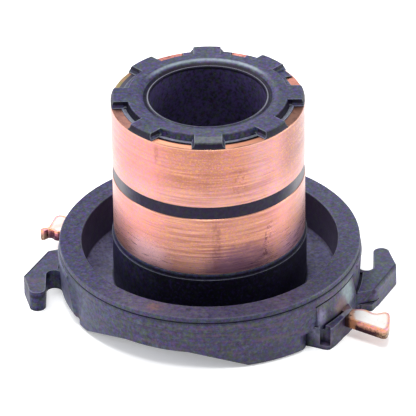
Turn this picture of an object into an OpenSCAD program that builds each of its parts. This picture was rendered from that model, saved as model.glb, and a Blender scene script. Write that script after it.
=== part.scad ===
// Alternator slip ring: a moulded insulating hub with a dished flange and two
// open hooks, two copper slip rings seated around the hub, and two copper
// leads that run down inside the hub wall and come out beside the flange as
// wire terminals.
// Millimetres. Z runs up the shaft axis. z = 0 is the underside.

/* [Bore and hub] */
// hole for the rotor shaft
bore_d = 17.1; // [16:0.05:18]
// seat that the copper rings sit on
seat_d = 24.5; // [23:0.1:26]
// hub wall between the lower ring and the dish floor
hub_d = 28.9; // [28:0.1:30]
// height of the rim's top above the underside
rim_z = 9.2; // [7:0.1:12]
// height of the collar's top above the rim
collar_rise = 24.75; // [20:0.05:28]

/* [Copper rings] */
// outside diameter of both rings
ring_d = 28.5; // [27:0.1:30]
// bottom edge of the lower ring above the rim
low_ring_from = 2.31; // [1.5:0.01:4]
// height of the lower ring
low_ring_h = 9.53; // [8:0.01:11]
// width of the insulating band between the rings
band_h = 1.96; // [1.2:0.01:3]
// height of the upper ring
top_ring_h = 9.91; // [8:0.01:11]
// edge break on the outer corners of a ring
ring_break = 0.12; // [0.05:0.01:0.4]

/* [Collar and lugs] */
// lugs around the collar
lug_count = 8; // [4:1:12]
// lug width at its top
lug_w = 4.05; // [3:0.05:5]
// lug width at its foot
lug_foot_w = 4.9; // [3:0.05:6]
// outer radius of a lug's top edge
lug_top_r = 13.9; // [13:0.05:14.2]
// radius of the collar between the lugs
collar_r = 11.85; // [11:0.05:12.5]
// outer radius of the ledge that holds the top ring down
ledge_r = 12.85; // [12.6:0.05:13.6]

/* [Flange] */
// outside diameter of the rim
rim_d = 44.88; // [42:0.01:48]
// inside diameter of the rim at its top
dish_d = 38.2; // [36:0.1:40]
// depth of the dish below the rim
dish_depth = 6.3; // [4:0.1:7]
// height of the plain band around the rim's top
rim_band = 0.87; // [0.5:0.01:1.5]
// height of the underside of the round skirt below the rim
skirt_h = 6.25; // [5:0.05:8]
// distance of the two sloped sides from the axis, at the underside
flat_dist = 17.25; // [16:0.05:20]
// rise of a sloped side for each millimetre outward
flat_slope = 0.72; // [0.4:0.01:1]
// direction of the sloped sides' normal, degrees
flat_angle = -112.3; // [-180:0.1:0]
// sideways set of the two arcs that make the lower wall slightly oval
oval_set = 0.45; // [0:0.05:1]

/* [Hooks] */
// top face of the hooks below the rim
hook_top = 6.0; // [5:0.1:8]
// width of the slot behind a hook
slot_w = 2.34; // [1.5:0.02:3]

/* [Leads and terminals] */
// thickness of the copper strip
strip_t = 1.6; // [0.8:0.05:2]
// width of the copper strip inside the moulding
strip_w = 3.2; // [2:0.1:4]
// top of a terminal below the rim
terminal_top = 5.8; // [5:0.1:7]
// top of the strip under the dish floor, below the rim
strip_top = 6.7; // [6.4:0.1:7.5]
// direction of the right lead, degrees; the left lead is opposite
lead_angle = -32; // [-60:0.5:0]
// inner radius of the upright part of a lead
riser_r = 10; // [9.4:0.1:10.6]

/* [Hidden] */
$fn = 128;
bore_r = bore_d/2;
seat_r = seat_d/2;
hub_r = hub_d/2;
ring_r = ring_d/2;
rim_r = rim_d/2;
dish_r = dish_d/2;
top_z = rim_z + collar_rise;
low0 = rim_z + low_ring_from;
low1 = low0 + low_ring_h;
up0 = low1 + band_h;
up1 = up0 + top_ring_h;
floor_z = rim_z - dish_depth;
skirt_z = rim_z - skirt_h;
hook_z = rim_z - hook_top;
term_z1 = rim_z - terminal_top;
term_z0 = term_z1 - strip_t;
strip_z1 = rim_z - strip_top;
strip_z0 = strip_z1 - strip_t;
lip_z = rim_z - 2.45;
crease_z = rim_z - 3.2;
recess_r = 21.75;
root_r = 22.7;
step_z = rim_z - 7.7;
boss_z = rim_z - 5.7;
e = 0.01;

// the same feature twice, half a turn apart
module both_sides() {
    children();
    rotate([0, 0, 180]) children();
}

// a wide wedge between two directions, as a plan outline
module wedge(a0, a1, r) {
    am = (a0 + a1)/2;
    polygon([[0, 0], [r*cos(a0), r*sin(a0)], [1.2*r*cos(am), 1.2*r*sin(am)], [r*cos(a1), r*sin(a1)]]);
}

// hub, band between the rings, collar and bore edge
module hub() {
    t = top_z;
    rotate_extrude() polygon([
        [bore_r + 0.5, 0], [hub_r, 0],
        [hub_r, rim_z + 1.18], [hub_r + 0.06, rim_z + 1.26], [hub_r + 0.06, rim_z + 1.48],
        [ring_r, rim_z + 1.58], [ring_r, low0], [seat_r, low0],
        [seat_r, low1], [ring_r - 0.08, low1], [ring_r - 0.08, up0], [seat_r, up0],
        [seat_r, up1], [ledge_r, up1], [ledge_r - 0.02, up1 + 0.11], [ledge_r - 0.12, up1 + 0.18],
        [ledge_r - 0.32, up1 + 0.19], [ledge_r - 0.38, up1 + 0.03], [collar_r + 0.36, up1 + 0.03],
        [collar_r + 0.14, up1 + 0.34], [collar_r, t - 0.12], [collar_r - 0.12, t],
        [10.6, t], [10.15, t - 0.07], [9.8, t - 0.21], [9.5, t - 0.43], [9.28, t - 0.58], [9.08, t - 0.63],
        [8.95, t - 0.58], [8.89, t - 0.49], [8.84, t - 0.45], [8.66, t - 0.45],
        [bore_r, t - 0.57], [bore_r, 0.5]
    ]);
}

// ring that the lugs are cut from: sloped outside face, resting on the copper
module lug_ring() {
    t = top_z;
    rotate_extrude() polygon([
        [11.2, up1 + 0.3], [12.9, up1 + 0.05], [12.9, up1], [ring_r, up1],
        [ring_r, up1 + 0.2], [lug_top_r + 0.05, t - 0.1], [lug_top_r - 0.1, t], [11.2, t]
    ]);
}

module lugs() {
    intersection() {
        lug_ring();
        union() for (i = [0 : lug_count - 1])
            rotate([0, 0, i*360/lug_count]) rotate([90, 0, 90])
                linear_extrude(height = 16) polygon([
                    [-lug_foot_w/2, up1 - 0.5], [lug_foot_w/2, up1 - 0.5],
                    [lug_foot_w/2, up1 + 0.07], [lug_foot_w/2 - 0.16, up1 + 0.25], [lug_w/2 + 0.08, up1 + 0.47],
                    [lug_w/2, top_z - 0.15], [lug_w/2 - 0.06, top_z + 0.5], [-lug_w/2 + 0.06, top_z + 0.5],
                    [-lug_w/2, top_z - 0.15], [-lug_w/2 - 0.08, up1 + 0.47], [-lug_foot_w/2 + 0.16, up1 + 0.25],
                    [-lug_foot_w/2, up1 + 0.07]
                ]);
    }
}

// thin webs that join the feet of two lugs to the copper's top
module lug_webs() {
    intersection() {
        rotate_extrude() polygon([
            [11.5, up1], [13.9, up1], [13.93, up1 + 0.13], [13.8, up1 + 0.22], [11.5, up1 + 0.29]
        ]);
        linear_extrude(height = top_z + 1) union() {
            wedge(26.2, 64.6, 20);
            wedge(74.4, 105.5, 20);
        }
    }
}

// fillets at the foot of the collar, in the two gaps beside the back lugs
module collar_fillets() {
    intersection() {
        rotate_extrude() polygon([
            [11.5, up1 - 0.04], [12.1, up1 - 0.04], [12.1, up1 + 0.07], [12.68, up1 + 0.07], [12.68, up1 + 0.23],
            [12.4, up1 + 0.45], [11.5, up1 + 0.62]
        ]);
        linear_extrude(height = top_z + 1) union() {
            wedge(3.2, 41.3, 20);
            wedge(138.4, 176.7, 20);
        }
    }
}

// upper part of the flange: dished rim down to the overhanging lip
module rim() {
    rotate_extrude() polygon([
        [14.2, 0.4], [20.4, 0.4], [20.4, lip_z], [rim_r - 0.06, lip_z],
        [rim_r, lip_z + 0.06], [rim_r, rim_z - rim_band - 0.16],
        [rim_r - 0.16, rim_z - rim_band - 0.04], [rim_r - 0.14, rim_z - rim_band + 0.06],
        [rim_r, rim_z - rim_band + 0.2], [rim_r, rim_z - 0.12], [rim_r - 0.1, rim_z],
        [dish_r + 0.1, rim_z], [dish_r, rim_z - 0.1], [dish_r - 0.2, floor_z + 0.4],
        [dish_r - 0.55, floor_z], [14.2, floor_z]
    ]);
}

// round lower wall with a rounded foot
module wall_round(r) {
    rotate_extrude() polygon([
        [14, 0], [r - 0.85, 0], [r - 0.5, 0.1], [r - 0.27, 0.32], [r - 0.18, 0.62],
        [r - 0.1, skirt_z + 0.35], [r, crease_z + 0.25], [r - 0.02, lip_z + 0.2], [20.3, lip_z + 0.2],
        [20.3, 1], [14, 1]
    ]);
}

// lower wall: two shifted arcs, so it is very slightly oval
module lower_wall() {
    intersection() {
        translate([oval_set*cos(50), oval_set*sin(50), 0]) wall_round(rim_r);
        translate([-oval_set*cos(50), -oval_set*sin(50), 0]) wall_round(rim_r);
    }
}

// thicker wall beside the root of a hook
module root_wall() {
    intersection() {
        rotate_extrude() polygon([
            [20.3, step_z], [root_r - 0.75, step_z], [root_r - 0.48, step_z + 0.12], [root_r - 0.35, step_z + 0.4],
            [root_r - 0.08, rim_z - 2.6], [root_r, rim_z - 2.05], [root_r - 0.05, rim_z - 1.76],
            [root_r - 0.2, rim_z - 1.5], [20.3, rim_z - 1.5]
        ]);
        // slanted near end beside the recess
        translate([0, 0, -1]) linear_extrude(height = 12) polygon([
            [0, 0], [19.2, -8.06], [20.63, -6.9], [21.9, -5.86], [24, -4.2], [33, 5], [30*cos(31), 30*sin(31)]
        ]);
        // leaning far end, cut across the wall
        rotate([0, 0, 60]) rotate([90, 0, 0]) translate([0, 0, -30]) linear_extrude(height = 60) polygon([
            [-30, -2], [18.92, -2], [16.6, 12], [-30, 12]
        ]);
    }
}

// prism that leaves the two sloped sides below the skirt
module sloped_sides() {
    run = skirt_z/flat_slope;
    rotate([0, 0, flat_angle]) rotate([90, 0, 0]) translate([0, 0, -30]) linear_extrude(height = 60) polygon([
        [flat_dist - 1/flat_slope, -1], [flat_dist + run, skirt_z], [30, skirt_z], [30, 20],
        [-30, 20], [-30, skirt_z], [-flat_dist - run, skirt_z], [-flat_dist + 1/flat_slope, -1]
    ]);
}

// step under the thicker wall
module foot_steps() {
    intersection() {
        rotate_extrude() polygon([[21.1, -1], [21.1, step_z], [30, step_z], [30, -1]]);
        translate([0, 0, -1]) linear_extrude(height = 12) wedge(-20, 27, 40);
    }
}

// recess under the lip, between the boss and the hook, and the lines cut around the rim
module recess() {
    difference() {
        translate([0, 0, -1]) linear_extrude(height = lip_z + 1) wedge(-46.3, -14.2, 40);
        translate([0, 0, -2]) cylinder(r = recess_r, h = 20);
        // the root wall of the hook stays
        translate([0, 0, -2]) linear_extrude(height = 20) polygon([
            [0, 0], [19.2, -8.06], [20.63, -6.9], [21.9, -5.86], [28, -0.8]
        ]);
    }
    // line along the lip's lower edge
    intersection() {
        rotate_extrude() polygon([[22.27, lip_z + 0.1], [30, lip_z + 0.1], [30, lip_z + 0.27], [22.27, lip_z + 0.27]]);
        translate([0, 0, -1]) linear_extrude(height = 12) wedge(-46.8, -19.6, 40);
    }
    // line above the root wall
    intersection() {
        rotate_extrude() polygon([[22.17, rim_z - 1.48], [30, rim_z - 1.48], [30, rim_z - 1.3], [22.17, rim_z - 1.3]]);
        translate([0, 0, -1]) linear_extrude(height = 12) wedge(-13.5, 15.2, 40);
    }
}

// sloped wall inside the recess
module recess_wall() {
    intersection() {
        rotate_extrude() polygon([
            [20.35, 0.45], [22.6, 0.45], [22.67, 3.38], [21.82, lip_z + 0.05], [20.35, lip_z + 0.05]
        ]);
        translate([0, 0, -1]) linear_extrude(height = 12) wedge(-46.1, -17.7, 40);
    }
}

// rounded end of the slab beside the boss
module slab_end() {
    translate([0, 0, -1]) linear_extrude(height = skirt_z + 1) polygon([
        [11.3, -20.2], [12.5, -18.75], [13.35, -17.4], [13.8, -16.5], [13.95, -15.95],
        [14.6, -16.22], [17.2, -17.45], [17.2, -20.5], [12, -22.5]
    ]);
}

// shelf between the boss and the hook, under the recess
module shelf() {
    intersection() {
        rotate_extrude() polygon([[20, 0], [22.2, 0], [22.2, hook_z - 0.1], [20, hook_z - 0.1]]);
        translate([0, 0, -1]) linear_extrude(height = 12) wedge(-33, -15, 30);
    }
}

module boss_plan() {
    polygon([
        [13.0, -14.6], [14.0, -15.9], [15.3, -16.5], [16.5, -17.05], [16.95, -17.2],
        [17.45, -17.1], [18.0, -16.5], [18.55, -15.7], [19.1, -14.75], [19.6, -13.85],
        [20.2, -12.95], [20.9, -11.65], [20.5, -10.2], [17.4, -9.4]
    ]);
}

// cradle around the root of a terminal, with a channel behind its outer wall
module boss() {
    difference() {
        linear_extrude(height = boss_z) boss_plan();
        // channel along the flange
        intersection() {
            rotate_extrude() polygon([[22.0, boss_z - 0.85], [23.12, boss_z - 0.85], [23.22, boss_z + 1], [22.0, boss_z + 1]]);
            translate([0, 0, -1]) linear_extrude(height = 12) wedge(-44.9, -31.8, 40);
        }
        // open pocket in the cradle's outer face
        translate([0, 0, 0.62]) linear_extrude(height = boss_z) polygon([
            [15.97, -18], [17.5, -18], [17.5, -16.35], [17.2, -16.1], [16.5, -15.8], [15.97, -15.9]
        ]);
    }
    // post beside the pocket, up to the lip
    intersection() {
        rotate_extrude() polygon([[14, 0.02], [22.74, 0.02], [22.74, 3.1], [22.4, lip_z + 0.15], [14, lip_z + 0.15]]);
        translate([0, 0, 0]) linear_extrude(height = 9) polygon([
            [13.6, -14.3], [14.9, -15.72], [15.45, -16.2], [15.87, -16.42], [15.97, -16.1], [15.6, -14.6], [14.6, -13.4]
        ]);
    }
}

// flat arm with an open slot behind it
module hook() {
    difference() {
        union() {
            linear_extrude(height = hook_z) difference() {
                union() {
                    polygon([
                        [19.5, -7.2], [21.9, -6.78], [22.5, -6.6], [23.0, -6.45], [23.5, -6.33], [24.03, -6.17],
                        [24.5, -5.93], [24.85, -5.6], [25.12, -5.15], [27.86, 0.25], [27.92, 0.5], [27.88, 0.85],
                        [27.05, 4.35], [24.57, 4.35], [24.57, 0.5], [24.57 - slot_w, 0.5], [19.5, 0.5]
                    ]);
                    translate([25.81, 4.35]) circle(r = 1.24);
                }
                translate([24.57 - slot_w/2, 0.5]) circle(r = slot_w/2);
            }
            // lower corner of the arm's front end
            linear_extrude(height = 1.02) polygon([
                [22.0, -6.3], [22.4, -6.8], [23.2, -6.77], [23.72, -6.95], [24.03, -6.88], [24.28, -6.5],
                [25.0, -5.3], [25.4, -4.3], [24.5, -4.5]
            ]);
        }
        // bevelled edge along the arm's outer side
        translate([27.86, 0.25, hook_z]) rotate([0, 0, atan2(5.4, 2.74)]) rotate([90, 0, 90])
            translate([0, 0, -9]) linear_extrude(height = 12) polygon([[-0.6, 0.3], [-0.6, -0.9], [-0.18, -0.9], [0, -0.5], [0.26, 0], [0.42, 0.3]]);
        // groove between the arm's top and the flange
        intersection() {
            translate([0, 0, hook_z - 0.34]) cylinder(r = 22.84, h = 3);
            translate([15, -12, 0]) cube([12, 10.9, 9]);
        }
        // parting groove across the arm's front end
        translate([0, 0, 1.04]) linear_extrude(height = 0.22) polygon([
            [21.5, -9], [25.6, -9], [25.0, -5.2], [24.72, -5.46], [24.4, -5.76], [24.0, -6.0], [23.5, -6.16],
            [23.0, -6.28], [22.4, -6.42], [21.9, -6.6]
        ]);
    }
}

// copper lead inside the moulding: contact tab, upright part, strip, step
module lead_inside(contact_z) {
    w = strip_w;
    translate([riser_r, -w/2, strip_z0]) cube([strip_t, w, contact_z + 1.6 - strip_z0]);
    intersection() {
        translate([riser_r + strip_t/2, -w/2, contact_z - 1.6]) cube([4, w, 3.2]);
        cylinder(r = seat_r, h = top_z);
    }
    translate([riser_r + strip_t/2, -w/2, strip_z0]) cube([20.6 - riser_r - strip_t/2, w, strip_t]);
    translate([20.3, -1.2, strip_z0]) cube([3.2, 2.4, strip_t]);
}

module right_lead_shape() {
    rotate([0, 0, lead_angle]) lead_inside(low0 + low_ring_h/2);
    translate([0, 0, term_z0]) linear_extrude(height = strip_t) polygon([
        [19.2, -13.3], [20.0, -11.9], [20.6, -11.55], [21.4, -11.52], [22.2, -11.5], [22.7, -11.66], [23.15, -11.95],
        [23.6, -12.4], [24.0, -12.7], [24.5, -12.8], [24.95, -12.68], [25.35, -12.5], [25.8, -12.48],
        [26.15, -12.68], [26.33, -13.1], [26.36, -13.9], [26.28, -15.0], [26.1, -16.1], [25.88, -16.85],
        [25.62, -17.2], [25.28, -17.28], [24.95, -17.12]
    ]);
}

module left_lead_shape() {
    rotate([0, 0, lead_angle + 180]) lead_inside(up0 + top_ring_h/2);
    translate([0, 0, term_z0]) linear_extrude(height = strip_t) polygon([
        [-19.2, 13.35], [-20.0, 11.9], [-20.6, 11.55], [-21.4, 11.4], [-22.3, 11.15], [-23.1, 11.1], [-23.5, 11.25],
        [-23.75, 11.6], [-24.1, 11.9], [-24.55, 11.85], [-24.85, 11.55], [-25.15, 11.3], [-25.5, 11.35],
        [-25.68, 11.65], [-25.62, 12.05], [-25.3, 12.3], [-24.75, 12.4], [-24.4, 12.55], [-23.95, 14.0],
        [-23.55, 15.3], [-23.25, 15.75], [-22.8, 15.9], [-22.3, 15.8], [-21.8, 15.45]
    ]);
}

// one-piece insulating moulding
module insulator() {
    color([0.22, 0.23, 0.27]) difference() {
        union() {
            hub();
            lugs();
            lug_webs();
            collar_fillets();
            difference() {
                intersection() {
                    union() {
                        rim();
                        lower_wall();
                        both_sides() root_wall();
                    }
                    sloped_sides();
                }
                both_sides() foot_steps();
                both_sides() recess();
                both_sides() slab_end();
            }
            both_sides() recess_wall();
            both_sides() shelf();
            both_sides() boss();
            both_sides() hook();
        }
        translate([0, 0, -1]) cylinder(r = bore_r, h = top_z + 2);
        right_lead_shape();
        left_lead_shape();
    }
}

module ring(z0, h) {
    b = ring_break;
    rotate_extrude() polygon([
        [seat_r, z0], [ring_r - b, z0], [ring_r, z0 + b], [ring_r, z0 + h - b], [ring_r - b, z0 + h], [seat_r, z0 + h]
    ]);
}

module upper_ring() {
    color([0.80, 0.52, 0.42]) ring(up0, top_ring_h);
}

module lower_ring() {
    color([0.76, 0.48, 0.40]) ring(low0, low_ring_h);
}

module right_lead() {
    color([0.85, 0.55, 0.38]) right_lead_shape();
}

module left_lead() {
    color([0.85, 0.55, 0.38]) left_lead_shape();
}

insulator();
upper_ring();
lower_ring();
right_lead();
left_lead();
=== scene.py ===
"""Looks of a slip ring unit: one dark moulding, two copper brush tracks and two copper leads."""

import math

import bmesh
import bpy
from mathutils import Matrix, Vector

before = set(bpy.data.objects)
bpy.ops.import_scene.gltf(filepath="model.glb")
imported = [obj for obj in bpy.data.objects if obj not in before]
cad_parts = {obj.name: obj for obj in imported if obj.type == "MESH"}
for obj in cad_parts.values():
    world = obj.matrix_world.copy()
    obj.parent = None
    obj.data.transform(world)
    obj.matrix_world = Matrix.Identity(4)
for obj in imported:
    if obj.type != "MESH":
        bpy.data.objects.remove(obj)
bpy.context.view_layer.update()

scene = bpy.context.scene
MM = 0.001
RIM_Z = 9.2              # the rim's top above the underside, mm


# ---------------------------------------------------------------- camera
def make_camera():
    elev, roll, dist = math.radians(31.9), math.radians(-0.84), 700.0
    ce, se = math.cos(elev), math.sin(elev)
    right, look, up = Vector((1, 0, 0)), Vector((0, ce, -se)), Vector((0, se, ce))
    c, s = math.cos(roll), math.sin(roll)
    x = right * c + up * s
    y = -right * s + up * c
    z = -look
    at = Vector((-0.19, 0, 4.99 + RIM_Z)) - dist * look
    cam = bpy.data.cameras.new("camera")
    cam.sensor_width = 36.0
    cam.lens = 6.734 * dist * 36.0 / 416.0
    cam.clip_start, cam.clip_end = 0.01, 60.0
    o = bpy.data.objects.new("camera", cam)
    m = Matrix((x, y, z)).transposed().to_4x4()
    m.translation = at * MM
    o.matrix_world = m
    scene.collection.objects.link(o)
    scene.camera = o


make_camera()


# ---------------------------------------------------------------- node helpers
class Nodes:
    """Short ways to wire a material's nodes."""

    def __init__(self, name):
        self.mat = bpy.data.materials.new(name)
        self.mat.use_nodes = True
        self.t = self.mat.node_tree
        self.bsdf = next(n for n in self.t.nodes if n.type == "BSDF_PRINCIPLED")

    def add(self, kind, **sets):
        n = self.t.nodes.new(kind)
        for k, v in sets.items():
            setattr(n, k, v)
        return n

    def put(self, socket, value):
        if hasattr(value, "is_output"):
            self.t.links.new(value, socket)
        else:
            socket.default_value = value

    def math(self, op, a, b=None, c=None, clamp=False):
        n = self.add("ShaderNodeMath", operation=op, use_clamp=clamp)
        for s, v in zip(n.inputs, (a, b, c)):
            if v is not None:
                self.put(s, v)
        return n.outputs[0]

    def ramp(self, fac, stops, interp="LINEAR"):
        n = self.add("ShaderNodeValToRGB")
        n.color_ramp.interpolation = interp
        e = n.color_ramp.elements
        while len(e) > len(stops):
            e.remove(e[-1])
        while len(e) < len(stops):
            e.new(1.0)
        for el, (p, col) in zip(e, stops):
            el.position = p
            el.color = (*col, 1.0) if len(col) == 3 else col
        self.put(n.inputs[0], fac)
        return n.outputs[0]

    def span(self, v, lo, hi, to_lo=0.0, to_hi=1.0, smooth=False):
        n = self.add("ShaderNodeMapRange")
        n.interpolation_type = "SMOOTHSTEP" if smooth else "LINEAR"
        n.clamp = True
        self.put(n.inputs["Value"], v)
        n.inputs["From Min"].default_value, n.inputs["From Max"].default_value = lo, hi
        n.inputs["To Min"].default_value, n.inputs["To Max"].default_value = to_lo, to_hi
        return n.outputs["Result"]

    def mix(self, fac, a, b, blend="MIX"):
        n = self.add("ShaderNodeMix", data_type="RGBA", blend_type=blend)
        self.put(n.inputs[0], fac)
        for s, v in ((n.inputs[6], a), (n.inputs[7], b)):
            if hasattr(v, "is_output"):
                self.t.links.new(v, s)
            else:
                s.default_value = (*v, 1.0) if len(v) == 3 else v
        return n.outputs[2]

    def noise(self, vec, scale, detail=3.0, rough=0.55, distort=0.0, dims="3D"):
        n = self.add("ShaderNodeTexNoise", noise_dimensions=dims)
        if vec is not None:
            self.t.links.new(vec, n.inputs["Vector"])
        n.inputs["Scale"].default_value = scale
        n.inputs["Detail"].default_value = detail
        n.inputs["Roughness"].default_value = rough
        n.inputs["Distortion"].default_value = distort
        return n

    def voronoi(self, vec, scale, feature="F1"):
        n = self.add("ShaderNodeTexVoronoi", feature=feature)
        self.t.links.new(vec, n.inputs["Vector"])
        n.inputs["Scale"].default_value = scale
        return n

    def bump(self, height, strength, distance, normal=None):
        n = self.add("ShaderNodeBump")
        n.inputs["Strength"].default_value = strength
        n.inputs["Distance"].default_value = distance
        self.put(n.inputs["Height"], height)
        if normal is not None:
            self.t.links.new(normal, n.inputs["Normal"])
        return n.outputs["Normal"]

    def coords(self):
        return self.add("ShaderNodeTexCoord").outputs["Object"]

    def xyz(self, vec):
        n = self.add("ShaderNodeSeparateXYZ")
        self.t.links.new(vec, n.inputs[0])
        return n.outputs

    def vec(self, x, y, z):
        n = self.add("ShaderNodeCombineXYZ")
        for s, v in zip(n.inputs, (x, y, z)):
            self.put(s, v)
        return n.outputs[0]


def polar(m):
    """(radius in mm, angle in radians, height in mm) of the shaded point."""
    x, y, z = m.xyz(m.coords())
    r = m.math("SQRT", m.math("ADD", m.math("MULTIPLY", x, x), m.math("MULTIPLY", y, y)))
    return m.math("MULTIPLY", r, 1000.0), m.math("ARCTAN2", y, x), m.math("MULTIPLY", z, 1000.0)


# ---------------------------------------------------------------- materials
def near(m, point_mm, r_in, r_out):
    """1 within r_in of a point and 0 beyond r_out, in mm."""
    n = m.add("ShaderNodeVectorMath", operation="DISTANCE")
    m.t.links.new(m.coords(), n.inputs[0])
    n.inputs[1].default_value = Vector(point_mm) * MM
    return m.span(n.outputs["Value"], r_in * MM, r_out * MM, 1.0, 0.0, smooth=True)


def patch(m, a, z, a_mid, a_half, z_mid, z_half, soft, wobble):
    """Soft patch on a cylinder: angles in degrees, heights in mm."""
    da = m.math("MULTIPLY", m.math("SUBTRACT", a, math.radians(a_mid)), 1.0 / math.radians(a_half))
    dz = m.math("MULTIPLY", m.math("SUBTRACT", z, z_mid), 1.0 / z_half)
    d = m.math("SQRT", m.math("ADD", m.math("POWER", m.math("ABSOLUTE", da), 2.6), m.math("POWER", m.math("ABSOLUTE", dz), 2.0)))
    return m.span(m.math("ADD", d, wobble), 1.0 - soft, 1.0 + soft, 1.0, 0.0, smooth=True)


def box_mask(m, v, lo, hi, soft):
    """1 while lo < v < hi, with soft ends."""
    return m.math("MULTIPLY", m.span(v, lo - soft, lo + soft), m.span(v, hi - soft, hi + soft, 1.0, 0.0))


def plastic():
    m = Nodes("moulded_plastic")
    co = m.coords()
    b = m.bsdf
    r, a, z = polar(m)
    x, y, z_m = m.xyz(co)
    y_mm = m.math("MULTIPLY", y, 1000.0)
    big = m.noise(co, 420.0, 3.0, 0.6).outputs["Fac"]
    mid = m.noise(co, 1500.0, 3.0, 0.6).outputs["Fac"]
    fine = m.noise(co, 5200.0, 2.0, 0.6).outputs["Fac"]
    blot = m.noise(co, 1700.0, 3.0, 0.62).outputs["Fac"]
    hue = m.noise(m.vec(x, y, m.math("ADD", m.math("MULTIPLY", z, 0.001), 0.37)), 1400.0, 3.0, 0.60).outputs["Fac"]
    # filled compound: violet, slate and green-grey grains
    base = m.ramp(hue, [(0.38, (0.038, 0.020, 0.088)), (0.46, (0.024, 0.018, 0.062)), (0.54, (0.020, 0.023, 0.046)), (0.62, (0.025, 0.036, 0.030))])
    base = m.mix(m.span(blot, 0.54, 0.66, 0.0, 0.75), base, (0.060, 0.062, 0.090))
    base = m.mix(m.span(blot, 0.46, 0.34, 0.0, 0.85), base, (0.005, 0.003, 0.016))
    grains = m.noise(co, 2600.0, 2.0, 0.5).outputs["Color"]
    base = m.mix(0.45, base, grains, "OVERLAY")
    # blue pigment that is not mixed evenly
    azure = m.noise(m.vec(z_m, x, y), 2300.0, 2.0, 0.55).outputs["Fac"]
    base = m.mix(m.span(azure, 0.48, 0.38, 0.0, 0.7), base, (1.0, 1.0, 0.35), "MULTIPLY")
    base = m.mix(1.0, base, m.ramp(azure, [(0.48, (0.0, 0.0, 0.0)), (0.62, (0.003, 0.006, 0.052))]), "ADD")
    # pale specks of filler
    cell = m.voronoi(co, 1500.0).outputs["Distance"]
    speck = m.math("MULTIPLY", m.span(cell, 0.06, 0.12, 1.0, 0.0), m.span(fine, 0.56, 0.62))
    base = m.mix(m.math("MULTIPLY", speck, 0.4), base, (0.14, 0.14, 0.17))
    # painted light on the dish floor, mottled, weaker toward the right
    dish = m.math("MULTIPLY", box_mask(m, r, 14.6, 18.9, 0.15), box_mask(m, z, 2.6, 3.4, 0.1))
    dish_floor_light = m.math("MULTIPLY", m.math("MULTIPLY", dish, m.span(blot, 0.3, 0.7, 0.45, 0.95)), m.span(x, -0.013, 0.017, 0.87, 0.70))
    dish_floor_lit_tone = m.mix(m.span(mid, 0.40, 0.60), (0.088, 0.082, 0.148), (0.176, 0.170, 0.288))
    dish_floor_lit_tone = m.mix(1.0, dish_floor_lit_tone, m.ramp(azure, [(0.40, (1.0, 1.0, 0.70)), (0.50, (1.0, 0.98, 1.0)), (0.60, (0.95, 0.90, 1.0))]), "MULTIPLY")
    dish_floor_lit_tone = m.mix(m.span(azure, 0.50, 0.62, 0.0, 0.4), dish_floor_lit_tone, (0.13, 0.12, 0.34))
    base = m.mix(dish_floor_light, base, dish_floor_lit_tone)
    # painted light: a lighter pool on the dish floor toward the left-back
    base = m.mix(m.math("MULTIPLY", m.math("MULTIPLY", dish, m.span(blot, 0.4, 0.6, 0.15, 0.55)), near(m, (-15.4, 7.0, 3.0), 1.2, 5.2)), base, (0.24, 0.23, 0.38))
    # painted fill light: the dish wall is lighter than the rest; the rim's top is paler at the front
    dish_wall_fill = m.math("MULTIPLY", box_mask(m, r, 18.75, 19.12, 0.03), box_mask(m, z, 3.2, 9.05, 0.1))
    base = m.mix(m.math("MULTIPLY", dish_wall_fill, 0.75), base, (0.060, 0.044, 0.088))
    rim_front_pale = m.math("MULTIPLY", m.math("MULTIPLY", m.span(z, 9.1, 9.18), box_mask(m, r, 19.0, 22.5, 0.1)), m.span(m.math("SINE", a), -0.55, -0.95))
    base = m.mix(m.math("MULTIPLY", rim_front_pale, m.span(blot, 0.35, 0.65, 0.15, 0.55)), base, (0.092, 0.074, 0.105))
    # painted bluish highlight at the skirt's left and on the post
    painted_sheen = m.math("MULTIPLY", m.math("MULTIPLY", m.span(x, -0.0135, -0.0180), m.span(z, 8.2, 7.9)), m.math("MULTIPLY", m.span(r, 21.2, 21.6), m.span(r, 23.2, 22.9)))
    painted_sheen = m.math("MAXIMUM", painted_sheen, near(m, (15.4, -16.6, 4.0), 0.8, 2.4))
    base = m.mix(m.math("MULTIPLY", painted_sheen, m.span(blot, 0.42, 0.58, 0.04, 0.48)), base, (0.045, 0.060, 0.125))
    # painted light: upward faces are tinted bluer than the sides
    geo = m.add("ShaderNodeNewGeometry")
    nz = m.xyz(geo.outputs["Normal"])[2]
    base = m.mix(m.span(nz, 0.5, 0.9, 0.0, 0.08), base, (0.026, 0.030, 0.100))
    # flow lines of the moulding round the skirt
    flow = m.noise(m.vec(m.math("MULTIPLY", m.math("COSINE", a), 4.0), m.math("ADD", m.math("MULTIPLY", m.math("SINE", a), 4.0), 5.0), m.math("MULTIPLY", m.math("ADD", z, m.math("MULTIPLY", mid, 0.5)), 1.5)), 1.0, 3.0, 0.6).outputs["Fac"]
    skirt = m.math("MULTIPLY", m.span(r, 21.2, 21.5), m.span(z, 8.1, 7.7))
    base = m.mix(m.math("MULTIPLY", skirt, m.span(flow, 0.52, 0.66, 0.0, 0.55)), base, (0.072, 0.048, 0.050))
    base = m.mix(m.math("MULTIPLY", skirt, m.span(flow, 0.46, 0.34, 0.0, 0.50)), base, (0.012, 0.012, 0.026))
    # painted shade: the hub wall below the lower ring is near black, less so at the left
    hub_shade = m.math("MULTIPLY", box_mask(m, r, 13.2, 14.58, 0.04), box_mask(m, z, 3.0, 11.2, 0.15))
    base = m.mix(m.math("MULTIPLY", hub_shade, m.span(x, -0.0125, -0.0070, 0.45, 0.9)), base, (0.002, 0.0015, 0.004))
    base = m.mix(m.math("MULTIPLY", hub_shade, m.span(azure, 0.54, 0.66, 0.0, 0.60)), base, (0.016, 0.010, 0.048))
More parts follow.
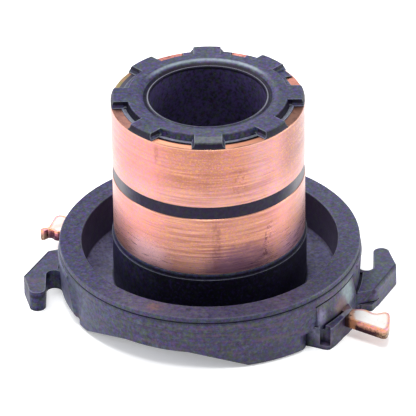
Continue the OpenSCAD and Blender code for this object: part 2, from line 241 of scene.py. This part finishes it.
    # the band between the rings: painted highlight at its sides, painted shade at its front
    band_light_and_shade = m.math("MULTIPLY", box_mask(m, r, 13.9, 14.3, 0.02), box_mask(m, z, 20.9, 23.1, 0.05))
    front = m.span(m.math("ABSOLUTE", m.math("ADD", a, math.radians(90))), 0.75, 1.15, 1.0, 0.25)
    base = m.mix(m.math("MULTIPLY", m.math("MULTIPLY", band_light_and_shade, m.span(m.math("SINE", a), 0.0, 0.9, 1.0, 0.15, smooth=True)), m.span(front, 0.9, 0.3, 0.0, 0.8)), base, (0.165, 0.152, 0.158))
    band_light_and_shade = m.math("MULTIPLY", band_light_and_shade, front)
    base = m.mix(m.math("MULTIPLY", m.span(band_light_and_shade, 0.3, 1.0), 0.8), base, (0.014, 0.007, 0.020))
    # painted fill light: the bore wall is paler than its shade, mottled with the blue pigment
    bore = m.span(r, 8.62, 8.7, 1.0, 0.0)
    base = m.mix(m.math("MULTIPLY", bore, m.span(azure, 0.40, 0.60, 0.0, 0.80)), base, (0.056, 0.036, 0.125))
    # painted highlight on the crest of the bead around the bore, weaker at the front, and painted shade inside it
    crest_highlight = m.math("MULTIPLY", box_mask(m, r, 8.76, 8.97, 0.03), m.span(z, 33.1, 33.3))
    bore_mouth_shade = m.math("MULTIPLY", box_mask(m, r, 8.3, 8.76, 0.02), m.span(z, 33.0, 33.2))
    crest_highlight = m.math("MULTIPLY", crest_highlight, m.span(m.math("SINE", a), -0.85, -0.25, 0.12, 1.0))
    base = m.mix(m.math("MULTIPLY", crest_highlight, 0.8), base, (0.22, 0.22, 0.27))
    # painted highlight on the slope outside the bead, brightest at the back, and painted shade in the groove inside it
    back = m.span(m.math("SINE", a), 0.35, 0.85, smooth=True)
    slope_highlight = m.math("MULTIPLY", box_mask(m, r, 9.83, 10.30, 0.15), m.math("MULTIPLY", m.span(z, 33.0, 33.2), back))
    base = m.mix(m.math("MULTIPLY", slope_highlight, m.span(blot, 0.3, 0.65, 0.60, 0.98)), base, (0.215, 0.255, 0.300))
    groove_shade = m.math("MULTIPLY", box_mask(m, r, 8.99, 9.58, 0.10), m.math("MULTIPLY", m.span(z, 32.9, 33.1), back))
    base = m.mix(m.math("MULTIPLY", groove_shade, 0.8), base, (0.020, 0.010, 0.014))
    # painted shade inside the bead
    base = m.mix(m.math("MULTIPLY", bore_mouth_shade, 0.85), base, (0.003, 0.002, 0.006))
    # painted shade on the lug flanks, less near the back-right
    flank_shade = m.math("MULTIPLY", m.math("MULTIPLY", m.span(r, 12.3, 12.4), box_mask(m, z, 32.95, 33.86, 0.02)), m.span(nz, 0.75, 0.5))
    flank_shade = m.math("MULTIPLY", flank_shade, m.math("SUBTRACT", 1.0, m.math("MULTIPLY", near(m, (11.6, 7.0, 33.1), 0.9, 1.9), 0.75)))
    base = m.mix(m.math("MULTIPLY", flank_shade, 0.85), base, (0.008, 0.005, 0.010))
    # painted shade in the two side windows of the collar
    side = m.span(m.math("ABSOLUTE", x), 0.0092, 0.0098)
    front_half = m.span(y, 0.0005, -0.0005)
    window_shade = m.math("MULTIPLY", m.math("MULTIPLY", box_mask(m, r, 11.75, 12.5, 0.04), box_mask(m, z, 32.8, 33.86, 0.03)), m.math("MULTIPLY", side, front_half))
    # painted highlight on the wall of the recess
    recess_highlight = m.math("MULTIPLY", near(m, (20.3, -9.2, 5.2), 0.8, 2.8), m.span(r, 22.72, 22.66))
    base = m.mix(m.math("MULTIPLY", recess_highlight, m.span(blot, 0.3, 0.6, 0.50, 0.78)), base, (0.22, 0.29, 0.30))
    # copper-brown patch on the wall beside the right terminal, and a painted reflection of the copper on the rim's
    # front
    copper_patch_and_reflection = m.math("MAXIMUM", near(m, (19.3, -11.5, 3.8), 0.7, 2.3), m.math("MULTIPLY", near(m, (-8.2, -18.9, 9.2), 0.2, 2.0), m.span(blot, 0.35, 0.6)))
    base = m.mix(m.math("MULTIPLY", copper_patch_and_reflection, 0.75), base, (0.130, 0.058, 0.052))
    # painted light in the pocket under the boss
    base = m.mix(m.math("MULTIPLY", near(m, (16.6, -17.2, 1.6), 0.4, 1.7), 0.75), base, (0.17, 0.125, 0.165))
    # painted light on the boss
    boss_light = m.math("MAXIMUM", near(m, (16.24, -15.4, 4.7), 0.3, 1.7), near(m, (15.5, -16.1, 2.6), 0.3, 1.6))
    base = m.mix(m.math("MULTIPLY", boss_light, m.span(blot, 0.35, 0.6, 0.4, 0.85)), base, (0.170, 0.165, 0.270))
    # painted highlight, grey-green, along the top edge of the front lug
    wear_and_highlight = m.math("MULTIPLY", m.math("MULTIPLY", m.span(z, 33.6, 33.75), m.span(r, 12.25, 12.45)), m.span(m.math("SINE", a), -0.90, -0.97))
    base = m.mix(m.math("MULTIPLY", wear_and_highlight, m.span(blot, 0.35, 0.6, 0.25, 0.70)), base, (0.092, 0.104, 0.092))
    # painted shade in grooves and corners
    ao = m.add("ShaderNodeAmbientOcclusion")
    ao.samples = 8
    ao.inputs["Distance"].default_value = 0.0010
    unshaded = m.span(ao.outputs["AO"], 0.30, 0.85, 0.20, 1.0)
    unshaded = m.math("MAXIMUM", unshaded, dish)
    # painted shade in the groove round the bead, at its left, right and back
    groove = m.math("MULTIPLY", box_mask(m, r, 8.93, 9.5, 0.06), m.span(z, 32.9, 33.1))
    beside = m.span(m.math("ABSOLUTE", m.math("COSINE", a)), 0.62, 0.90)
    unshaded = m.math("MAXIMUM", unshaded, groove)
    unshaded = m.math("MULTIPLY", unshaded, m.span(groove_shade, 0.0, 1.0, 1.0, 0.40))
    unshaded = m.math("MULTIPLY", unshaded, m.span(m.math("MULTIPLY", groove, beside), 0.0, 1.0, 1.0, 0.22))
    wall = m.math("MULTIPLY", m.math("MULTIPLY", box_mask(m, r, 11.7, 12.26, 0.03), m.span(z, 33.0, 33.3)), m.span(m.math("SINE", a), -0.70, -0.80))
    unshaded = m.math("MAXIMUM", unshaded, wall)
    unshaded = m.math("MULTIPLY", unshaded, m.span(window_shade, 0.0, 1.0, 1.0, 0.12))
    # painted shade in the line cut round the rim, under the lip, and on the rim's side at the front and right
    outer = m.span(r, 22.05, 22.2)
    lip_side = m.span(m.math("SINE", m.math("SUBTRACT", m.math("MULTIPLY", a, 2.0), math.radians(-66.4 - 90.0))), 0.885, 0.895)
    lip_shadow = m.math("MULTIPLY", m.math("MULTIPLY", box_mask(m, z, 6.70, 7.03, 0.04), outer), lip_side)
    line = m.math("MULTIPLY", box_mask(m, z, 8.02, 8.46, 0.14), outer)
    line = m.math("MULTIPLY", line, m.span(x, -0.018, -0.010, 0.45, 1.0))
    rim_side_shade = m.math("MULTIPLY", m.math("MULTIPLY", box_mask(m, z, 8.40, 8.98, 0.10), outer), m.span(x, -0.010, -0.003))
    # shaded crease between the top and the bevel of each hook
    sign = m.math("SIGN", x)
    off = m.math("SUBTRACT", m.math("MULTIPLY", m.math("SUBTRACT", m.math("MULTIPLY", m.math("MULTIPLY", x, sign), 1000.0), 27.86), 0.8918),
                 m.math("MULTIPLY", m.math("SUBTRACT", m.math("MULTIPLY", y_mm, sign), 0.25), 0.4525))
    crease = m.math("MULTIPLY", box_mask(m, off, -0.52, -0.10, 0.08), m.math("MULTIPLY", m.span(r, 24.0, 24.2), box_mask(m, z, 2.4, 3.4, 0.1)))
    unshaded = m.math("MULTIPLY", unshaded, m.span(lip_shadow, 0.0, 1.0, 1.0, 0.0))
    unshaded = m.math("MULTIPLY", unshaded, m.span(line, 0.0, 1.0, 1.0, 0.50))
    unshaded = m.math("MULTIPLY", unshaded, m.span(rim_side_shade, 0.0, 1.0, 1.0, 0.78))
    # painted shade on the left hook's sides, under the bevel
    hook_side_shade = m.math("MULTIPLY", m.math("MULTIPLY", box_mask(m, z, 2.15, 2.72, 0.12), m.span(x, -0.0236, -0.0242)), m.span(nz, 0.5, 0.3))
    unshaded = m.math("MULTIPLY", unshaded, m.span(hook_side_shade, 0.0, 1.0, 1.0, 0.55))
    # painted shade in the recess behind the boss
    unshaded = m.math("MULTIPLY", unshaded, m.span(near(m, (17.7, -13.9, 4.2), 0.5, 1.7), 0.0, 1.0, 1.0, 0.60))
    unshaded = m.math("MULTIPLY", unshaded, m.span(crease, 0.0, 1.0, 1.0, 0.45))
    # less painted shade in the pocket under the boss
    unshaded = m.math("MAXIMUM", unshaded, m.math("MULTIPLY", near(m, (16.7, -16.9, 2.0), 0.6, 1.5), 0.75))
    # apply the painted shade to the colour
    base = m.mix(unshaded, (0.004, 0.003, 0.008), base)
    # painted highlight along upward-facing edges
    edge = m.add("ShaderNodeBevel")
    edge.samples = 4
    edge.inputs["Radius"].default_value = 0.00010
    thick = m.add("ShaderNodeAmbientOcclusion", inside=True, only_local=True)
    thick.samples = 8
    thick.inputs["Distance"].default_value = 0.00020
    rub_and_highlight = m.math("MULTIPLY", m.span(thick.outputs["AO"], 0.94, 0.60), m.span(m.xyz(edge.outputs["Normal"])[2], 0.10, 0.40))
    rub_and_highlight = m.math("MULTIPLY", rub_and_highlight, m.span(m.math("ADD", m.math("MULTIPLY", big, 0.5), m.math("MULTIPLY", mid, 0.5)), 0.35, 0.60, 0.45, 1.0))
    rub_and_highlight = m.math("MULTIPLY", rub_and_highlight, m.span(r, 8.9, 9.6))
    rub_and_highlight = m.math("MULTIPLY", rub_and_highlight, m.span(m.math("MULTIPLY", box_mask(m, z, 6.5, 7.3, 0.1), lip_side), 0.0, 1.0, 1.0, 0.25))
    rub_and_highlight = m.math("MULTIPLY", rub_and_highlight, m.span(crease, 0.0, 1.0, 1.0, 0.2))
    base = m.mix(m.math("MULTIPLY", rub_and_highlight, 0.75), base, (0.20, 0.215, 0.26))
    m.put(b.inputs["Base Color"], base)
    # the left of the rim and the collar are less polished
    calm = m.math("MULTIPLY", m.span(z, 9.1, 9.18), m.span(x, -0.004, -0.017, 0.96, 0.44))
    calm = m.math("ADD", calm, m.span(z, 9.18, 9.1))
    calm = m.math("MULTIPLY", calm, m.span(m.math("MULTIPLY", m.span(z, 33.2, 33.4), m.span(m.math("ABSOLUTE", m.math("COSINE", a)), 0.3, 0.7)), 0.0, 1.0, 1.0, 0.84))
    calm = m.math("MULTIPLY", calm, m.span(m.math("MULTIPLY", dish, m.span(x, 0.004, 0.017)), 0.0, 1.0, 1.0, 0.73))
    calm = m.math("MULTIPLY", calm, m.span(m.math("MULTIPLY", m.span(x, -0.0235, -0.0245), m.span(nz, 0.5, 0.3)), 0.0, 1.0, 1.0, 0.75))
    # the painted shade also weakens the reflection: in corners, on the hub wall, the band's front, inside the bead and
    # on the lug flanks
    shaded_parts = m.math("MAXIMUM", m.math("MAXIMUM", hub_shade, m.math("MULTIPLY", band_light_and_shade, 0.8)), m.math("MAXIMUM", bore_mouth_shade, m.math("MULTIPLY", flank_shade, 0.8)))
    level = m.math("MULTIPLY", m.span(unshaded, 0.20, 1.0, 0.08, 0.36), m.span(shaded_parts, 0.0, 1.0, 1.0, 0.30))
    violet = m.math("MULTIPLY", skirt, m.span(x, -0.013, -0.003))
    calm = m.math("MULTIPLY", calm, m.span(violet, 0.0, 1.0, 1.0, 1.13))
    calm = m.math("MULTIPLY", calm, m.span(m.math("MULTIPLY", skirt, m.span(x, 0.002, 0.012)), 0.0, 1.0, 1.0, 1.14))
    calm = m.math("MULTIPLY", calm, m.span(x, -0.0230, -0.0238, 1.0, 0.90))
    calm = m.math("MULTIPLY", calm, m.span(m.math("MULTIPLY", m.span(z, 33.6, 33.75), m.span(m.math("COSINE", a), 0.80, 0.92)), 0.0, 1.0, 1.0, 0.86))
    calm = m.math("MULTIPLY", calm, m.span(m.noise(m.vec(y, x, z_m), 2100.0, 2.0, 0.55).outputs["Fac"], 0.38, 0.62, 0.86, 1.14))
    m.put(b.inputs["Specular IOR Level"], m.math("MULTIPLY", level, m.math("MULTIPLY", calm, m.span(x, 0.0236, 0.0242, 1.10, 1.30))))
    # fine scuffs on the rim and the hooks
    scuff = m.noise(m.vec(m.math("MULTIPLY", a, 20.0), m.math("MULTIPLY", r, 1.3), z), 2.2, 4.0, 0.7, 0.6).outputs["Fac"]
    tint = m.ramp(hue, [(0.39, (0.80, 0.60, 1.0)), (0.46, (0.70, 0.68, 1.0)), (0.53, (0.69, 0.78, 1.0)), (0.61, (0.76, 0.95, 0.78))])
    tint = m.mix(m.math("MULTIPLY", violet, 0.8), tint, (1.0, 0.90, 1.0), "MULTIPLY")
    tint = m.mix(m.math("MULTIPLY", skirt, m.span(x, -0.011, -0.018)), tint, (0.96, 1.0, 1.12), "MULTIPLY")
    tint = m.mix(m.span(x, 0.0232, 0.0240), tint, (0.93, 1.06, 0.99), "MULTIPLY")
    tint = m.mix(m.math("MULTIPLY", m.span(r, 21.2, 21.6), m.math("MULTIPLY", m.span(r, 23.6, 23.3), m.span(x, 0.008, 0.017))), tint, (0.98, 1.05, 0.99), "MULTIPLY")
    # blue and olive grains
    fleck = m.noise(m.vec(y, z, x), 2700.0, 2.0, 0.5).outputs["Fac"]
    tint = m.mix(1.0, tint, m.ramp(fleck, [(0.41, (0.97, 1.0, 0.52)), (0.50, (0.96, 0.95, 0.84)), (0.59, (0.88, 0.82, 0.98))]), "MULTIPLY")
    m.put(b.inputs["Specular Tint"], tint)
    rough = m.span(m.math("ADD", m.math("MULTIPLY", big, 0.6), m.math("MULTIPLY", fine, 0.4)), 0.3, 0.7, 0.40, 0.60)
    rough = m.math("ADD", rough, m.span(scuff, 0.6, 0.75, 0.0, 0.10))
    m.put(b.inputs["Roughness"], rough)
    b.inputs["IOR"].default_value = 1.62
    h = m.math("ADD", m.math("MULTIPLY", mid, 0.6), m.math("MULTIPLY", fine, 0.4))
    m.put(b.inputs["Normal"], m.bump(h, 0.7, 0.00005, edge.outputs["Normal"]))
    return m.mat


def ring_copper(name, low, high):
    """Turned copper of one ring: low and high are its edges' heights in mm."""
    m = Nodes(name)
    b = m.bsdf
    r, a, z = polar(m)
    lower = low < 15.0
    x, y, z_m = m.xyz(m.coords())

    def around(k, shift, q):
        # noise place on the ring, closed all the way round
        return m.vec(m.math("MULTIPLY", m.math("COSINE", a), 14.25 * k),
                     m.math("ADD", m.math("MULTIPLY", m.math("SINE", a), 14.25 * k), shift), m.math("MULTIPLY", z, q))

    # turned lines: long round the ring and short along the axis
    lines = m.noise(around(0.07, 0.0, 1.5), 1.0, 3.0, 0.6).outputs["Fac"]
    thin = m.noise(around(0.08, 7.0, 2.6), 1.0, 4.0, 0.66).outputs["Fac"]
    hair = m.noise(around(0.4, 3.0, 10.0), 1.0, 2.0, 0.6).outputs["Fac"]
    blotch = m.noise(m.coords(), 330.0, 4.0, 0.6).outputs["Fac"]
    grain = m.noise(m.coords(), 1900.0, 3.0, 0.62).outputs["Fac"]
    tone = m.noise(m.coords(), 2400.0, 2.0, 0.5).outputs["Color"]
    spot = m.noise(around(2.6, 11.0, 3.4), 1.0, 2.0, 0.6).outputs["Fac"]
    wob = m.span(m.noise(m.coords(), 620.0, 4.0, 0.65).outputs["Fac"], 0.0, 1.0, -0.45, 0.45)
    # colour round the ring: painted light, with pink highlights at the sides and darker gold, in shade, at the front
    # where the brush track runs
    turn = m.math("ADD", m.span(a, -math.pi, 0.0), m.math("MULTIPLY", wob, 0.03))
    s = 0.045 if lower else 0.0
    if lower:
        gold, gold2, pink, rose, buff, side = (0.492, 0.230, 0.176), (0.435, 0.202, 0.157), (0.63, 0.265, 0.255), (0.62, 0.285, 0.275), (0.52, 0.268, 0.238), (0.47, 0.250, 0.235)
    else:
        gold, gold2, pink, rose, buff, side = (0.462, 0.197, 0.145), (0.345, 0.144, 0.106), (0.60, 0.238, 0.262), (0.53, 0.285, 0.305), (0.310, 0.158, 0.145), (0.30, 0.160, 0.160)
    left = (0.72, 0.37, 0.36) if lower else (0.53, 0.235, 0.228)
    col = m.ramp(turn, [
        (0.00, left), (0.13, (0.66, 0.278, 0.300) if lower else (0.58, 0.240, 0.265)), (0.30, pink),
        (0.375, gold), (0.50, gold2), (0.60 + s, gold),
        (0.67 + s, rose), (0.735 + s, rose), (0.80 + s, buff),
        (0.89 + s, side), (1.0, (0.40, 0.20, 0.20) if lower else (0.34, 0.185, 0.19))])
    col = m.mix(m.span(a, 1.6, 3.1, smooth=True), col, left)
    # greyer toward the lower edge
    col = m.mix(m.span(m.math("ADD", z, wob), low + 4.6, low + 0.6, 0.0, 0.55, smooth=True), col, (0.64, 0.36, 0.375))
    col = m.mix(m.span(blotch, 0.4, 0.7, 0.0, 0.30), col, (0.44, 0.18, 0.12))
    col = m.mix(0.20, col, tone, "OVERLAY")
    fleck = m.noise(m.vec(z_m, x, y), 2600.0, 2.0, 0.5).outputs["Fac"]
    col = m.mix(1.0, col, m.ramp(fleck, [(0.40, (0.99, 1.0, 0.70)), (0.50, (0.98, 0.97, 0.95)), (0.60, (0.97, 0.92, 1.0))]), "MULTIPLY")
    col = m.mix(m.span(spot, 0.51, 0.63, 0.0, 0.50), col, (0.62, 0.305, 0.13))
    col = m.mix(m.span(spot, 0.48, 0.36, 0.0, 0.48), col, (0.54, 0.23, 0.33))
    # brush track: brown lines worn in where the brush ran
    track = m.math("MULTIPLY", m.span(turn, 0.30, 0.40), m.span(turn, 0.66 + s, 0.74 + s, 1.0, 0.0))
    wear_and_highlight = m.span(m.noise(around(0.16, 2.0, 0.22), 1.0, 2.0, 0.5).outputs["Fac"], 0.38, 0.60, 0.35, 1.0)
    wear_and_highlight = m.math("MULTIPLY", wear_and_highlight, m.span(track, 0.0, 1.0, 0.42, 1.0))
    dark = m.math("MULTIPLY", m.span(thin, 0.49, 0.59), wear_and_highlight)
    weight = 1.0 if lower else 0.72
    col = m.mix(m.math("MULTIPLY", dark, 0.46 * weight), col, (0.27, 0.095, 0.060))
    light = m.math("MULTIPLY", m.span(thin, 0.47, 0.38), wear_and_highlight)
    col = m.mix(m.math("MULTIPLY", light, 0.42 * weight), col, (0.74, 0.38, 0.26))
    light = m.math("MULTIPLY", m.span(lines, 0.54, 0.70), wear_and_highlight)
    col = m.mix(m.math("MULTIPLY", light, 0.45 * weight), col, (0.64, 0.285, 0.18))
    dots = m.span(grain, 0.50, 0.60)
    if lower:
        # tarnish near the lower edge, and a violet edge band all round
        t = patch(m, a, z, -72.0, 20.0, 12.3, 3.4, 0.45, wob)
        t = m.math("MULTIPLY", t, m.span(m.math("ADD", blotch, m.math("MULTIPLY", thin, 0.6)), 0.45, 0.85, 0.45, 1.0))
        col = m.mix(m.math("MULTIPLY", t, 0.78), col, (0.125, 0.060, 0.128))
        streak = m.math("MULTIPLY", patch(m, a, z, -86.0, 2.6, 15.8, 6.0, 0.5, wob), m.span(grain, 0.42, 0.62, 0.15, 1.0))
        col = m.mix(m.math("MULTIPLY", streak, 0.55), col, (0.17, 0.065, 0.065))
        ragged = m.math("MULTIPLY", patch(m, m.math("SUBTRACT", a, m.math("MULTIPLY", m.math("SUBTRACT", z, 14.5), 0.014)), z, -55.0, 2.3, 15.0, 3.6, 0.5, wob), dots)
        col = m.mix(m.math("MULTIPLY", ragged, 0.75), col, (0.13, 0.045, 0.060))
        corner = patch(m, a, z, -27.0, 17.0, 11.6, 2.9, 0.5, wob)
        col = m.mix(m.math("MULTIPLY", corner, 0.45), col, (0.44, 0.26, 0.46))
        # painted highlight low on the ring's left-front
        foot_highlight = patch(m, a, z, -131.0, 14.0, 12.6, 2.6, 0.7, wob)
        col = m.mix(m.math("MULTIPLY", foot_highlight, 0.60), col, (0.86, 0.53, 0.57))
        edge = m.span(m.math("ADD", z, m.math("MULTIPLY", wob, 0.9)), low, low + 1.3, 1.0, 0.0, smooth=True)
        col = m.mix(m.math("MULTIPLY", edge, 0.32), col, (0.26, 0.13, 0.18))
    else:
        t = m.math("MULTIPLY", patch(m, a, z, -122.2, 1.5, 31.1, 1.5, 0.6, wob), m.span(grain, 0.40, 0.60, 0.3, 1.0))
        col = m.mix(m.math("MULTIPLY", t, 0.60), col, (0.30, 0.11, 0.09))
        t2 = m.math("MULTIPLY", patch(m, a, z, -72.0, 5.0, 26.9, 2.4, 0.6, wob), dots)
        col = m.mix(m.math("MULTIPLY", t2, 0.50), col, (0.26, 0.09, 0.06))
    # pale polished line at the edges
    line = m.math("MAXIMUM", m.math("MULTIPLY", m.span(z, high - 0.34, high - 0.16), 0.4 if lower else 0.7), m.span(z, low + 0.30, low + 0.14, 0.0, 0.35))
    col = m.mix(line, col, (0.72, 0.38, 0.27))
    col = m.mix(m.math("MULTIPLY", m.span(z, high - 0.12, high - 0.06), m.span(m.math("SINE", a), -0.85, -0.60, 0.0, 0.75)), col, (0.22, 0.10, 0.07))
    # end faces stay dull brown, and are brighter only at the back
    geo = m.add("ShaderNodeNewGeometry")
    up = m.span(m.xyz(geo.outputs["Normal"])[2], 0.85, 0.97)
    y_mm = m.math("MULTIPLY", m.xyz(m.coords())[1], 1000.0)
    y_mm = m.math("ADD", y_mm, m.math("MULTIPLY", wob, 3.0))
    face = m.mix(m.span(y_mm, 1.0, 4.0), (0.27, 0.135, 0.100), (0.62, 0.25, 0.21))
    face = m.mix(m.span(grain, 0.48, 0.62, 0.0, 0.7), face, (0.15, 0.075, 0.065))
    face = m.mix(m.span(y_mm, -8.5, -10.5), face, (0.68, 0.31, 0.20))
    if not lower:
        face = m.mix(m.math("MULTIPLY", near(m, (-12.4, 5.6, high), 1.9, 3.0), m.span(grain, 0.40, 0.60, 0.45, 0.85)), face, (0.34, 0.32, 0.13))
        # thin plastic flash over the inner part, and a duller stretch opposite
        flash = m.math("MULTIPLY", near(m, (-12.0, 5.4, high), 2.6, 3.4), m.span(r, 13.60, 13.46))
        face = m.mix(m.math("MULTIPLY", flash, 0.95), face, (0.090, 0.092, 0.140))
        face = m.mix(m.math("MULTIPLY", near(m, (12.6, 5.6, high), 1.6, 2.6), 0.75), face, (0.36, 0.155, 0.115))
        face = m.mix(m.math("MULTIPLY", near(m, (-12.4, -5.6, high), 2.6, 3.6), m.span(grain, 0.42, 0.58, 0.25, 0.75)), face, (0.19, 0.085, 0.080))
    # painted shadow line on the top face next to the collar, at the front
    face = m.mix(m.math("MULTIPLY", m.span(r, 13.34, 13.10), m.span(y_mm, -7.0, -9.5)), face, (0.010, 0.006, 0.010))
    col = m.mix(up, col, face)
    m.put(b.inputs["Base Color"], col)
    b.inputs["Metallic"].default_value = 1.0
    rough = m.math("ADD", m.span(hair, 0.3, 0.7, 0.24, 0.36), m.math("MULTIPLY", dark, 0.08))
    rough = m.math("ADD", rough, m.math("MULTIPLY", up, 0.2))
    m.put(b.inputs["Roughness"], rough)
    b.inputs["Anisotropic"].default_value = 0.7
    b.inputs["Anisotropic Rotation"].default_value = 0.25
    tan = m.add("ShaderNodeTangent", direction_type="RADIAL", axis="Z")
    m.t.links.new(tan.outputs[0], b.inputs["Tangent"])
    h = m.math("ADD", m.math("MULTIPLY", lines, 0.4), m.math("ADD", m.math("MULTIPLY", thin, 0.7), m.math("MULTIPLY", hair, 0.35)))
    h = m.math("ADD", h, m.math("MULTIPLY", grain, 0.12))
    m.put(b.inputs["Normal"], m.bump(h, 0.6 if lower else 0.45, 0.00003))
    return m.mat


def lead_copper(name, top_a, top_b, side_a, side_b):
    """Bright cut copper: two tones for the top and two for the sheared sides."""
    m = Nodes(name)
    b = m.bsdf
    co = m.coords()
    r, a, z = polar(m)
    n1 = m.noise(co, 520.0, 3.0, 0.6).outputs["Fac"]
    n2 = m.noise(co, 2300.0, 3.0, 0.62).outputs["Fac"]
    geo = m.add("ShaderNodeNewGeometry")
    up = m.span(m.xyz(geo.outputs["Normal"])[2], 0.75, 0.97, 0.0, 1.0, smooth=True)
    # sheared side: bright at the top edge, rough and dark below
    depth = m.math("ADD", z, m.span(n2, 0.2, 0.8, -0.28, 0.28))
    side = m.mix(m.span(depth, 2.35, 3.10, smooth=True), side_b, side_a)
    x_mm = m.math("MULTIPLY", m.math("ABSOLUTE", m.xyz(co)[0]), 1000.0)
    side = m.mix(m.math("MULTIPLY", m.span(x_mm, 24.2, 25.2), m.span(n2, 0.40, 0.55, 0.1, 0.7)), side, (0.50, 0.34, 0.22))
    side = m.mix(m.math("MULTIPLY", m.span(n1, 0.50, 0.60, 0.0, 0.6), m.span(depth, 2.1, 2.8, 0.25, 1.0)), side, (0.24, 0.13, 0.06))
    side = m.mix(m.span(n2, 0.44, 0.34, 0.0, 0.6), side, (0.07, 0.028, 0.035))
    side = m.mix(m.span(depth, 2.95, 3.25, 0.0, 0.85), side, (0.90, 0.32, 0.38))
    side = m.mix(m.span(m.xyz(geo.outputs["Normal"])[2], -0.6, -0.85), side, m.mix(m.span(n1, 0.4, 0.65), (0.40, 0.17, 0.115), (0.50, 0.22, 0.15)))
    top = m.mix(m.span(n1, 0.4, 0.7), top_a, top_b)
    col = m.mix(up, side, top)
    # edges of the blank, tinted by heat and handling
    thick = m.add("ShaderNodeAmbientOcclusion", inside=True, only_local=True)
    thick.samples = 8
    thick.inputs["Distance"].default_value = 0.00060
    rub_and_highlight = m.math("MULTIPLY", m.span(thick.outputs["AO"], 0.97, 0.72), m.span(z, 3.0, 3.2))
    tint = m.ramp(m.math("ADD", m.math("MULTIPLY", n1, 0.6), m.math("MULTIPLY", n2, 0.4)), [
        (0.36, (0.62, 0.15, 0.34)), (0.47, (0.84, 0.41, 0.11)), (0.56, (0.63, 0.17, 0.36)), (0.66, (0.92, 0.61, 0.23))])
    col = m.mix(m.math("MULTIPLY", rub_and_highlight, 0.85), col, tint)
    # an orange band, then near black toward the root
    root = m.math("ADD", x_mm, m.span(n2, 0.0, 1.0, -0.3, 0.3))
    col = m.mix(m.math("MULTIPLY", m.span(root, 21.35, 20.95), 0.75), col, (0.95, 0.42, 0.20))
    col = m.mix(m.span(root, 20.60, 20.25, 0.0, 0.92), col, (0.055, 0.035, 0.045))
    m.put(b.inputs["Base Color"], col)
    b.inputs["Metallic"].default_value = 1.0
    m.put(b.inputs["Roughness"], m.span(n2, 0.3, 0.7, 0.26, 0.42))
    edge = m.add("ShaderNodeBevel")
    edge.samples = 4
    edge.inputs["Radius"].default_value = 0.00016
    m.put(b.inputs["Normal"], m.bump(n1, 0.25, 0.00006, edge.outputs["Normal"]))
    return m.mat


def wear(name, material):
    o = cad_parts[name]
    o.data.materials.clear()
    o.data.materials.append(material)
    return o


wear("insulator", plastic())
wear("lower_ring", ring_copper("lower_ring_copper", 11.51, 21.04))
wear("upper_ring", ring_copper("upper_ring_copper", 23.0, 32.91))
wear("right_lead", lead_copper("right_strip_copper", (0.97, 0.90, 0.86), (0.98, 0.97, 0.95), (0.66, 0.31, 0.21), (0.030, 0.012, 0.018)))
wear("left_lead", lead_copper("left_strip_copper", (0.92, 0.64, 0.58), (0.97, 0.92, 0.88), (0.42, 0.15, 0.20), (0.060, 0.022, 0.040)))


# ---------------------------------------------------------------- stage and light
def make_stage():
    bm = bmesh.new()
    s = 8.0
    vs = [bm.verts.new((x * s, y * s, 0.0)) for x, y in ((-1, -1), (1, -1), (1, 1), (-1, 1))]
    bm.faces.new(vs)
    me = bpy.data.meshes.new("floor")
    bm.to_mesh(me)
    bm.free()
    floor = bpy.data.objects.new("floor", me)
    scene.collection.objects.link(floor)
    m = Nodes("floor_paint")
    b = m.bsdf
    n = m.noise(m.coords(), 3.0, 2.0, 0.5).outputs["Fac"]
    m.put(b.inputs["Base Color"], m.mix(n, (0.86, 0.86, 0.865), (0.885, 0.885, 0.885)))
    b.inputs["Emission Color"].default_value = (0.97, 0.985, 1.0, 1.0)
    b.inputs["Emission Strength"].default_value = 0.30
    b.inputs["Roughness"].default_value = 0.75
    b.inputs["Specular IOR Level"].default_value = 0.2
    me.materials.append(m.mat)
    floor.location.z = -0.00002


def area(name, at, to, size, power, shape="RECTANGLE", size_y=None):
    d = bpy.data.lights.new(name, "AREA")
    d.shape = shape
    d.size = size
    if size_y:
        d.size_y = size_y
    d.energy = power
    o = bpy.data.objects.new(name, d)
    o.location = at
    o.rotation_euler = (Vector(to) - Vector(at)).to_track_quat("-Z", "Y").to_euler()
    scene.collection.objects.link(o)
    return o


def make_light():
    """White studio: bright above, behind and at the sides, dimmer on the camera's side."""
    w = bpy.data.worlds.new("studio")
    w.use_nodes = True
    t = w.node_tree
    bg = t.nodes["Background"]
    co = t.nodes.new("ShaderNodeTexCoord")
    sep = t.nodes.new("ShaderNodeSeparateXYZ")
    t.links.new(co.outputs["Generated"], sep.inputs[0])
    front = t.nodes.new("ShaderNodeMapRange")
    front.interpolation_type = "SMOOTHSTEP"
    t.links.new(sep.outputs[1], front.inputs["Value"])
    front.inputs["From Min"].default_value, front.inputs["From Max"].default_value = -0.10, -0.80
    front.inputs["To Min"].default_value, front.inputs["To Max"].default_value = 0.90, 0.25
    t.links.new(front.outputs["Result"], bg.inputs["Strength"])
    bg.inputs["Color"].default_value = (0.97, 0.985, 1.0, 1.0)
    scene.world = w
    area("key", (-0.30, 0.42, 0.60), (0, 0, 0.01), 0.45, 4.2, size_y=0.45)
    area("left_panel", (-0.62, -0.08, 0.20), (0, 0, 0.015), 0.30, 1.9, size_y=0.34)
    area("top_panel", (0.0, -0.16, 0.70), (0, 0, 0.02), 0.22, 2.4, size_y=0.22)
    area("right_panel", (0.62, 0.04, 0.18), (0, 0, 0.015), 0.26, 2.1, size_y=0.30)


make_stage()
make_light()
scene.view_settings.view_transform = "Standard"
scene.view_settings.look = "None"
